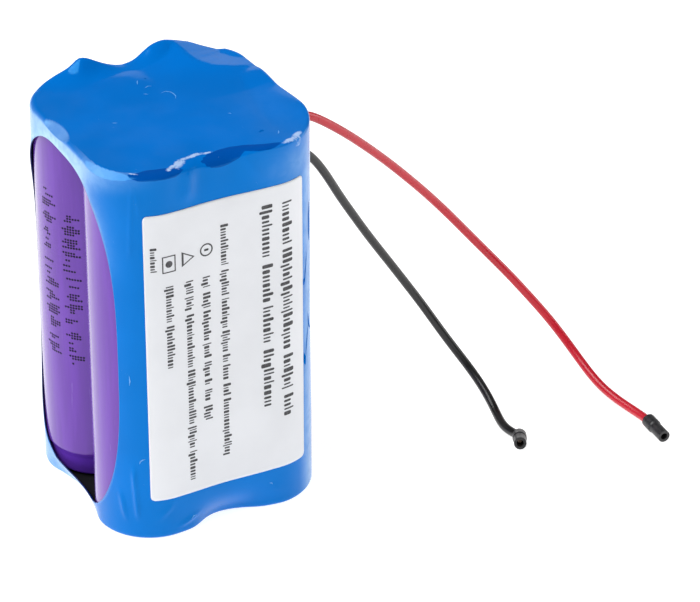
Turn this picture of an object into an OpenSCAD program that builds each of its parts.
// Four-cell lithium battery pack in an open-ended shrink sleeve, with two flying leads.
// Four round cells stand two by two. Nickel links join them in series over and under,
// a slim protection board lies in the groove between the two cells at the +X end, and a
// blue film tube runs round the front, top, back and bottom. Its two ends, at -X and +X,
// shrink to oval openings. Origin: centre of the base. +Z up, label on the -Y face.

/* [Cells] */
// Length of a bare cell, end to end
cell_len = 65; // [64.5:0.1:65.5]
// Diameter of a cell over its wrap
cell_d = 18.4; // [18.2:0.1:18.6]
// Thickness of a cell's wrap
wrap_t = 0.1; // [0.08:0.01:0.15]
// Distance between the axes of neighbouring cells
cell_pitch = 19; // [18.9:0.1:19.4]
// Height of the crimp groove above the positive end
groove_z = 3.1; // [2.8:0.1:3.4]
// Depth of the crimp groove
groove_depth = 0.7; // [0.4:0.1:0.9]

/* [Sleeve] */
// Thickness of the shrink film
film_t = 0.2; // [0.15:0.01:0.3]
// Half the width of an end opening
window_half_w = 15; // [12:0.5:16]
// Lowest point of an end opening
window_z0 = 2.5; // [1.5:0.1:4]
// Highest point of an end opening
window_z1 = 64.6; // [60:0.1:65]
// Squareness of an end opening, 2 is an ellipse
window_power = 3.2; // [2:0.1:4]

/* [Label] */
// Left edge of the label
label_x0 = -13.6; // [-15:0.1:-10]
// Right edge of the label
label_x1 = 14.4; // [10:0.1:15]
// Lower edge of the label
label_z0 = 7.5; // [5:0.5:12]
// Upper edge of the label
label_z1 = 60; // [55:0.5:62]
// Thickness of the label
label_t = 0.1; // [0.08:0.01:0.2]

/* [End stack] */
// Thickness of the sheet insulator over and under the cells
insulator_t = 0.4; // [0.2:0.05:0.6]
// Thickness of the nickel strip
nickel_t = 0.2; // [0.1:0.05:0.3]
// Width of the nickel strip that joins two cells
nickel_w = 5; // [4:0.5:7]
// Air gap between stacked layers
layer_gap = 0.05; // [0.05:0.01:0.1]

/* [Protection board] */
// Width of the board
board_w = 8.4; // [7:0.2:8.4]
// Thickness of the board
board_t = 0.8; // [0.6:0.1:0.8]
// Lower end of the board
board_z0 = 5; // [4:0.5:10]
// Upper end of the board
board_z1 = 62.5; // [61:0.5:63]

/* [Leads] */
// Diameter over a lead's insulation
lead_d = 1.5; // [1.3:0.1:1.7]
// Diameter of a lead's conductor
conductor_d = 0.8; // [0.6:0.1:0.9]
// Outer diameter of an end sleeve where it grips the insulation
collar_d = 2.4; // [2.2:0.1:2.6]
// Length of that collar
collar_len = 2.2; // [2:0.1:3]
// Outer diameter of an end sleeve at its mouth
mouth_d = 2.1; // [2:0.1:2.2]
// Length of the narrow part of an end sleeve
mouth_len = 3.4; // [2.5:0.1:4]
// Bore of an end sleeve at its mouth
mouth_bore_d = 1.2; // [1:0.1:1.4]

/* [Hidden] */
$fn = 64;
eps = 0.01;

// Stack of layers, from the floor up
insulator_z0 = film_t + layer_gap;
link_z0 = insulator_z0 + insulator_t + layer_gap;
cell_z0 = link_z0 + nickel_t + layer_gap;
cell_z1 = cell_z0 + cell_len;
link_z1 = cell_z1 + layer_gap;
insulator_z1 = link_z1 + nickel_t + layer_gap;
pack_h = insulator_z1 + insulator_t + layer_gap + film_t;

// Plan of the pack
cell_off = cell_pitch / 2;
cell_r = cell_d / 2;
can_r = cell_r - wrap_t;
film_gap = 0.05;
film_in_r = cell_r + film_gap;
film_out_r = film_in_r + film_t;
half_w = cell_off + film_out_r;
// Cells 1 and 3 stand with the negative end down, cells 2 and 4 with the positive end down
CELL_AT = [[-1, -1], [1, -1], [1, 1], [-1, 1]];
POSITIVE_UP = [true, false, true, false];

// Round cell details
can_wall = 0.25;
shoulder_r = 0.6;
groove_half = 0.6;
groove_slope = 0.4;
ring_t = 0.15;
can_z0 = wrap_t;
can_z1 = cell_len - wrap_t - ring_t;
seat_z = can_z1 - can_wall;
crimp_r = 7.2;
wrap_hole_r = 6.6;
wrap_floor_r = 7.6;
lid_r = 7.5;
lid_t = 0.4;
button_r = 3.2;
gasket_r = 8.2;
gasket_lip_r = 6.9;
gasket_hole_r = 6.3;
gasket_lip_t = 0.2;
gasket_h = 1.2;
gasket_play = 0.05;
washer_r = 8;
washer_hole_r = 4;
winding_r = 8.7;
winding_top = 59.5;
mandrel_r = 1.5;
weld_r = 0.6;
weld_off = 1.5;

// Opening shape
window_z = (window_z0 + window_z1) / 2;
window_half_h = (window_z1 - window_z0) / 2;
window_sides = 72;
window_reach = 12;

// Film gathers on the far top edge: [x, half width, height]
GATHERS = [[-6.5, 5, 2.1], [7.5, 4.5, 1.7]];
gather_y0 = 14.5;

// Nickel
finger_w = 1;
tab_y0 = 1.3;
tab_y1 = 3.8;
tab_len_z = 8.5;
link_over = 3;
foot_z1 = 9;
sense_drop_z = 61;

// Board
board_x0 = 17.1;
board_x1 = board_x0 + board_t;
paper_t = 0.2;
paper_w = 7.4;
red_hole_z = 59.5;
black_hole_z = 54.5;
wire_hole_r = 0.5;
chip_h = 0.9;
CONTROLLER = [5, 6.5, 34];
SWITCHES_Z = [15.5, 24, 43.5];
SWITCH_SIZE = [6, 5];
SMALL_SIZE = [1.2, 0.8];
small_h = 0.5;
SMALL_Z = [28.5, 29.9, 38.8, 40.2, 47.6, 49, 50.4];
SMALL_Y = [-2.6, 0, 2.6];
solder_r = 1.1;
solder_h = 0.45;
tape_z0 = 10;
tape_w = 3;
tape_t = 0.08;
tape_gap = 0.02;
tape_half_y = 9.5;

// Bond pads in the gaps between neighbouring cells
pad_t = cell_pitch - cell_d;
pad_w = 6;
pad_z0 = 12;
pad_z1 = 55;

// Leads: straight out of the board, down to the floor, then along it towards -Y
tube_sides = 8;
insulation_x0 = board_x1 + 0.7;
RED_ROUTE = [
    [insulation_x0, 0, 59.5], [20.8, 0, 59.6], [23.7, 0.3, 60], [26, 0.7, 58.8], [28.5, 1.2, 56.9],
    [32, 2, 54], [35.5, 3, 50.8], [39, 4, 47.4], [42.5, 5, 43.9], [46, 5.5, 40.2], [49.5, 6, 36.4],
    [53, 6.5, 32.4], [56, 6, 28.7], [59, 5.5, 24.9], [62, 4.5, 21.1], [65, 2.5, 17.3],
    [67.5, 0.5, 13.7], [70, -2.5, 10], [71.5, -6, 6.8], [72.5, -10, 4], [73, -14.5, 2],
    [74, -19.5, 1.1], [75, -24, 1], [75.2, -27.3, 1.2]
];
BLACK_ROUTE = [
    [insulation_x0, 0, 54.5], [21.5, 0, 54.5], [24.5, 0.5, 53], [27, 1, 50], [29.5, 1.5, 45.8],
    [32, 2.5, 41.4], [34.5, 3, 37.4], [37, 3.5, 33.3], [40, 4, 28.7], [42.5, 4, 24.9],
    [45.5, 4, 20.2], [48, 3, 16.1], [50, 1.5, 12.3], [52, -1, 8.4], [54, -4.5, 4.7],
    [54.5, -8.5, 2.4], [54, -12.5, 1], [53, -16, 0.8], [53, -18.5, 0.8], [53.6, -21, 1.2]
];
// Direction that each end sleeve points in
RED_END = [-0.4, -5.6, 0];
BLACK_END = [-2.6, -4.6, 1.8];
grip_len = 1.8;
bore_gap = 0.05;
bare_len = 1.6;

// ---- Helpers ----

// Square with round corners of radius r centred on the cell axes
module pack_outline(r) {
    reach = cell_off + r;
    square([2 * cell_off, 2 * reach], center = true);
    square([2 * reach, 2 * cell_off], center = true);
    for (at = CELL_AT)
        translate(at * cell_off)
            circle(r);
}

// Prism of the pack outline from z0 to z1
module pack_prism(r, z0, z1) {
    translate([0, 0, z0])
        linear_extrude(z1 - z0)
            pack_outline(r);
}

// Box given by its two corners
module box(low, high) {
    translate(low)
        cube(high - low);
}

// Put children, drawn with the positive end up from z = 0, at cell i
module at_cell(i) {
    at = CELL_AT[i] * cell_off;
    turn = POSITIVE_UP[i] ? 0 : 180;
    base = POSITIVE_UP[i] ? cell_z0 : cell_z1;
    translate([at[0], at[1], base])
        rotate([turn, 0, 0])
            children();
}

// Side of a cell from its negative end at z0 up to its positive end at z1, at radius r
function cell_side(r, z0, z1) = [
    [r - shoulder_r, z0], [r, z0 + shoulder_r],
    [r, cell_len - groove_z - groove_half - groove_slope],
    [r - groove_depth, cell_len - groove_z - groove_half],
    [r - groove_depth, cell_len - groove_z + groove_half],
    [r, cell_len - groove_z + groove_half + groove_slope],
    [r, z1 - shoulder_r], [r - shoulder_r, z1]
];

function backwards(list) = [for (k = [len(list) - 1 : -1 : 0]) list[k]];

// Point at angle t on the rim of an end opening
function window_rim(t) = [
    sign(cos(t)) * window_half_w * pow(abs(cos(t)), 2 / window_power),
    window_z + sign(sin(t)) * window_half_h * pow(abs(sin(t)), 2 / window_power)
];

function unit(v) = v / norm(v);
function dot(a, b) = a[0] * b[0] + a[1] * b[1] + a[2] * b[2];

// Direction of a route at its point i
function along(path, i) = unit(path[min(i + 1, len(path) - 1)] - path[max(i - 1, 0)]);

// Sideways direction carried along a route without twist
function sideways(path, i) = let (
    before = i == 0 ? [0, 1, 0] : sideways(path, i - 1),
    d = along(path, i)
) unit(before - d * dot(before, d));

// Ring of points round point i of a route
function ring(path, i, r) = let (
    d = along(path, i),
    side = sideways(path, i),
    rise = cross(d, side)
) [for (k = [0 : tube_sides - 1]) let (t = k * 360 / tube_sides)
    path[i] + r * (cos(t) * side + sin(t) * rise)];

// Round tube of radius r along a route
module tube(path, r) {
    last = len(path) - 1;
    points = [for (i = [0 : last]) for (p = ring(path, i, r)) p];
    walls = [for (i = [0 : last - 1]) for (k = [0 : tube_sides - 1])
        let (n = (k + 1) % tube_sides, a = i * tube_sides, b = a + tube_sides)
            [a + k, b + k, b + n, a + n]];
    first_cap = [[for (k = [0 : tube_sides - 1]) k]];
    last_cap = [[for (k = [tube_sides - 1 : -1 : 0]) last * tube_sides + k]];
    polyhedron(points, concat(first_cap, walls, last_cap), convexity = 6);
}

// Route of a lead, with the stretch inside its end sleeve added
function with_grip(path, dir) = concat(path, [path[len(path) - 1] + unit(dir) * grip_len]);

// Put children, drawn along +Z from z = 0, at a route's end, pointing along dir
module at_end(path, dir) {
    translate(path[len(path) - 1])
        rotate([0, acos(unit(dir)[2]), atan2(dir[1], dir[0])])
            children();
}

// ---- Sleeve, label and insulators ----

module shrink_sleeve() {
    color([0.02, 0.42, 0.85])
        union() {
            difference() {
                pack_prism(film_out_r, 0, pack_h);
                pack_prism(film_in_r, film_t, pack_h - film_t);
                for (side = [-1, 1])
                    end_opening(side);
            }
            for (g = GATHERS)
                film_gather(g);
        }
}

module end_opening(side) {
    start = side < 0 ? -window_reach - cell_pitch : cell_off;
    translate([start, 0, 0])
        rotate([90, 0, 90])
            linear_extrude(window_reach + cell_off)
                polygon([for (k = [0 : window_sides - 1]) window_rim(k * 360 / window_sides)]);
}

// Pinched fold of film standing on the far top edge
module film_gather(g) {
    translate([g[0], half_w, pack_h - eps])
        rotate([90, 0, 0])
            linear_extrude(half_w - gather_y0)
                polygon([[-g[1], 0], [g[1], 0], [g[1] * 0.45, g[2] * 0.7], [0, g[2]],
                    [-g[1] * 0.45, g[2] * 0.7]]);
}

module label() {
    color([0.95, 0.95, 0.96])
        intersection() {
            difference() {
                pack_prism(film_out_r + label_t, label_z0, label_z1);
                pack_prism(film_out_r, 0, pack_h);
            }
            box([label_x0, -half_w - 1, label_z0], [label_x1, -cell_off, label_z1]);
        }
}

module top_insulator() {
    color([0.1, 0.1, 0.1])
        pack_prism(cell_r - 0.1, insulator_z1, insulator_z1 + insulator_t);
}

module bottom_insulator() {
    color([0.1, 0.1, 0.1])
        pack_prism(cell_r - 0.1, insulator_z0, insulator_z0 + insulator_t);
}

// ---- Cells ----

module can(i) {
    floor_z = can_z0 + can_wall;
    outer = cell_side(can_r, can_z0, can_z1);
    inner = cell_side(can_r - can_wall, floor_z, seat_z);
    color([0.72, 0.73, 0.75])
        at_cell(i)
            rotate_extrude()
                polygon(concat([[0, can_z0]], outer, [[crimp_r, can_z1], [crimp_r, seat_z]],
                    backwards(inner), [[0, floor_z]]));
}

module wrap(i) {
    outer = cell_side(cell_r, 0, cell_len);
    inner = cell_side(can_r, can_z0, can_z1);
    lip_z = cell_len - wrap_t;
    color([0.48, 0.33, 0.75])
        at_cell(i)
            rotate_extrude()
                polygon(concat([[wrap_floor_r, 0]], outer, [[wrap_hole_r, cell_len],
                    [wrap_hole_r, lip_z], [can_r - shoulder_r, lip_z]], backwards(inner),
                    [[wrap_floor_r, can_z0]]));
}

// Steel lid with its contact button, held in the gasket
module cap(i) {
    lid_z = seat_z - gasket_lip_t - lid_t;
    color([0.8, 0.8, 0.82])
        at_cell(i) {
            translate([0, 0, lid_z])
                cylinder(h = lid_t, r = lid_r);
            translate([0, 0, lid_z])
                cylinder(h = cell_len + layer_gap - lid_z, r = button_r);
        }
}

// Plastic seal that wraps the lid's edge and keeps it off the crimped can
module gasket(i) {
    low = seat_z - gasket_h;
    lid_top = seat_z - gasket_lip_t;
    slot_r = lid_r + gasket_play;
    color([0.15, 0.15, 0.16])
        at_cell(i)
            rotate_extrude()
                polygon([[gasket_hole_r, low], [gasket_r, low], [gasket_r, seat_z],
                    [gasket_lip_r, seat_z], [gasket_lip_r, lid_top], [slot_r, lid_top],
                    [slot_r, lid_top - lid_t], [gasket_hole_r, lid_top - lid_t]]);
}

// Paper washer that lies on the crimp, under the wrap's edge
module ring_washer(i) {
    color([0.9, 0.9, 0.88])
        at_cell(i)
            rotate_extrude()
                polygon([[washer_hole_r, can_z1], [washer_r, can_z1],
                    [washer_r, can_z1 + ring_t], [washer_hole_r, can_z1 + ring_t]]);
}

// Wound electrodes, with the hollow left by the winding mandrel
module winding(i) {
    low = can_z0 + can_wall;
    color([0.25, 0.2, 0.2])
        at_cell(i)
            rotate_extrude()
                polygon([[mandrel_r, low], [winding_r, low], [winding_r, winding_top],
                    [mandrel_r, winding_top]]);
}

// ---- Nickel links and tabs ----

// Strip that runs out from a link at height z to the board and folds along its outer face.
// side is the sign of y, fold_z is where the folded part ends.
module finger(side, x0, z, fold_z) {
    y0 = side < 0 ? -tab_y1 : tab_y0;
    low = min(z, fold_z);
    high = max(z + nickel_t, fold_z);
    box([x0, y0, z], [board_x1 + nickel_t, y0 + tab_y1 - tab_y0, z + nickel_t]);
    box([board_x1, y0, low], [board_x1 + nickel_t, y0 + tab_y1 - tab_y0, high]);
}

// Weld nuggets that reach from a link, from z0 to z1, into a cell's flat negative end
module welds(at, z0, z1) {
    for (dx = [-weld_off, weld_off], dy = [-weld_off, weld_off])
        translate([at[0] * cell_off + dx, at[1] * cell_off + dy, z0])
            cylinder(h = z1 - z0, r = weld_r);
}

// Bottom link on the cells at the given side of y, with its finger up to the board.
// minus is the plan position of the cell whose negative end it is welded to.
module bottom_link(side, minus) {
    mid = side * cell_off;
    far = side * tab_y0;
    color([0.78, 0.77, 0.74])
        union() {
            box([-cell_off - link_over, mid - nickel_w / 2, link_z0],
                [cell_off + link_over, mid + nickel_w / 2, link_z0 + nickel_t]);
            box([cell_off - nickel_w / 2, min(mid, far), link_z0],
                [cell_off + nickel_w / 2, max(mid, far), link_z0 + nickel_t]);
            finger(side, cell_off, link_z0, foot_z1);
            welds(minus, link_z0, cell_z0 + wrap_t);
        }
}

module bottom_link_front() { bottom_link(-1, CELL_AT[0]); }

module bottom_link_back() { bottom_link(1, CELL_AT[2]); }

// Link over the two cells at the -X end, with a narrow sense finger across to the board
module top_link() {
    color([0.78, 0.77, 0.74])
        union() {
            box([-cell_off - nickel_w / 2, -cell_off - link_over, link_z1],
                [-cell_off + nickel_w / 2, cell_off + link_over, link_z1 + nickel_t]);
            box([-cell_off, -finger_w / 2, link_z1],
                [board_x1 + nickel_t, finger_w / 2, link_z1 + nickel_t]);
            box([board_x1, -finger_w / 2, sense_drop_z],
                [board_x1 + nickel_t, finger_w / 2, link_z1 + nickel_t]);
            welds(CELL_AT[3], cell_z1 - wrap_t, link_z1 + nickel_t);
        }
}

// Tab on the cell at +X, at the given side of y, folded down onto the board
module end_tab(side) {
    mid = side * (cell_off + link_over);
    far = side * tab_y0;
    color([0.78, 0.77, 0.74])
        union() {
            box([cell_off - nickel_w / 2, min(mid, far), link_z1],
                [cell_off + nickel_w / 2, max(mid, far), link_z1 + nickel_t]);
            finger(side, cell_off, link_z1, link_z1 - tab_len_z);
            if (side < 0)
                welds(CELL_AT[1], cell_z1 - wrap_t, link_z1 + nickel_t);
        }
}

module tab_negative() { end_tab(-1); }

module tab_positive() { end_tab(1); }

// ---- Protection board ----

// Place a flat part, [width, height], on the board's outer face, centred at y, z
module on_board(size, h, y, z) {
    box([board_x1, y - size[0] / 2, z - size[1] / 2],
        [board_x1 + h, y + size[0] / 2, z + size[1] / 2]);
}

// Cylinder along +X from x0, on the board's middle line at height z
module along_x(x0, length, r, z) {
    translate([x0, 0, z])
        rotate([0, 90, 0])
            cylinder(h = length, r = r);
}

module protection_board() {
    color([0.05, 0.35, 0.2])
        difference() {
            box([board_x0, -board_w / 2, board_z0], [board_x1, board_w / 2, board_z1]);
            for (z = [red_hole_z, black_hole_z])
                along_x(board_x0 - 1, board_t + 2, wire_hole_r, z);
        }
}

module board_paper() {
    color([0.75, 0.72, 0.62])
        box([board_x0 - paper_t, -paper_w / 2, board_z0 - 1],
            [board_x0, paper_w / 2, board_z1 + 1]);
}

module controller_chip() {
    color([0.08, 0.08, 0.09])
        on_board([CONTROLLER[0], CONTROLLER[1]], chip_h, 0, CONTROLLER[2]);
}

module power_switches() {
    color([0.08, 0.08, 0.09])
        for (z = SWITCHES_Z)
            on_board(SWITCH_SIZE, chip_h, 0, z);
}

module small_parts() {
    color([0.55, 0.45, 0.35])
        for (z = SMALL_Z, y = SMALL_Y)
            on_board(SMALL_SIZE, small_h, y, z);
}

// Solder cones round the two wires and flat beads on the ends of the nickel fingers
module solder_joints() {
    bead_x = board_x1 + nickel_t;
    color([0.7, 0.71, 0.72])
        for (z = [red_hole_z, black_hole_z])
            difference() {
                translate([board_x1, 0, z])
                    rotate([0, 90, 0])
                        cylinder(h = solder_h, r1 = solder_r, r2 = wire_hole_r);
                along_x(board_x1 - 1, 3, conductor_d / 2, z);
            }
    color([0.7, 0.71, 0.72])
        for (side = [-1, 1], z = [foot_z1 - 1.5, link_z1 - tab_len_z + 1.5])
            box([bead_x, side * (tab_y0 + tab_y1) / 2 - 0.9, z - 0.9],
                [bead_x + 0.25, side * (tab_y0 + tab_y1) / 2 + 0.9, z + 0.9]);
}

module board_tape() {
    x0 = cell_off + cell_r + tape_gap;
    color([0.85, 0.55, 0.1])
        box([x0, -tape_half_y, tape_z0], [x0 + tape_t, tape_half_y, tape_z0 + tape_w]);
}

// ---- Bond pads ----

// Pad between the two cells on the given side, thin along X or along Y
module bond_pad(thin_x, side) {
    size = thin_x ? [pad_t, pad_w] : [pad_w, pad_t];
    centre = thin_x ? [0, side * cell_off] : [side * cell_off, 0];
    color([0.85, 0.85, 0.8])
        box([centre[0] - size[0] / 2, centre[1] - size[1] / 2, pad_z0],
            [centre[0] + size[0] / 2, centre[1] + size[1] / 2, pad_z1]);
}

module bond_pad_front() { bond_pad(true, -1); }

module bond_pad_back() { bond_pad(true, 1); }

module bond_pad_left() { bond_pad(false, -1); }

module bond_pad_right() { bond_pad(false, 1); }

// ---- Leads ----

module red_lead() {
    color([0.85, 0.08, 0.12])
        tube(with_grip(RED_ROUTE, RED_END), lead_d / 2);
}

module black_lead() {
    color([0.08, 0.08, 0.08])
        tube(with_grip(BLACK_ROUTE, BLACK_END), lead_d / 2);
}

// Bare wire through the board at height z, and the bare end inside the end sleeve
module conductor(z, path, dir) {
    color([0.8, 0.5, 0.3]) {
        along_x(board_x0 - 0.4, insulation_x0 - board_x0 + 0.4, conductor_d / 2, z);
        at_end(path, dir)
            translate([0, 0, grip_len])
                cylinder(h = bare_len, r = conductor_d / 2);
    }
}

module red_conductor() { conductor(red_hole_z, RED_ROUTE, RED_END); }

module black_conductor() { conductor(black_hole_z, BLACK_ROUTE, BLACK_END); }

// Shrunk tube over a lead's end: wide over the insulation, narrow and open past it
module end_sleeve(path, dir) {
    total = collar_len + mouth_len;
    grip_r = lead_d / 2 + bore_gap;
    color([0.1, 0.1, 0.11])
        at_end(path, dir)
            rotate_extrude()
                polygon([[grip_r, 0], [collar_d / 2, 0], [collar_d / 2, collar_len],
                    [mouth_d / 2, collar_len + 0.3], [mouth_d / 2, total],
                    [mouth_bore_d / 2, total], [mouth_bore_d / 2, grip_len + bore_gap],
                    [grip_r, grip_len + bore_gap]]);
}

module red_end_sleeve() { end_sleeve(RED_ROUTE, RED_END); }

module black_end_sleeve() { end_sleeve(BLACK_ROUTE, BLACK_END); }

// ---- Assembly ----

shrink_sleeve();
label();
top_insulator();
bottom_insulator();
for (i = [0 : 3]) {
    can(i);
    wrap(i);
    cap(i);
    gasket(i);
    ring_washer(i);
    winding(i);
}
bottom_link_front();
bottom_link_back();
top_link();
tab_negative();
tab_positive();
protection_board();
board_paper();
controller_chip();
power_switches();
small_parts();
solder_joints();
board_tape();
bond_pad_front();
bond_pad_back();
bond_pad_left();
bond_pad_right();
red_lead();
black_lead();
red_conductor();
black_conductor();
red_end_sleeve();
black_end_sleeve();
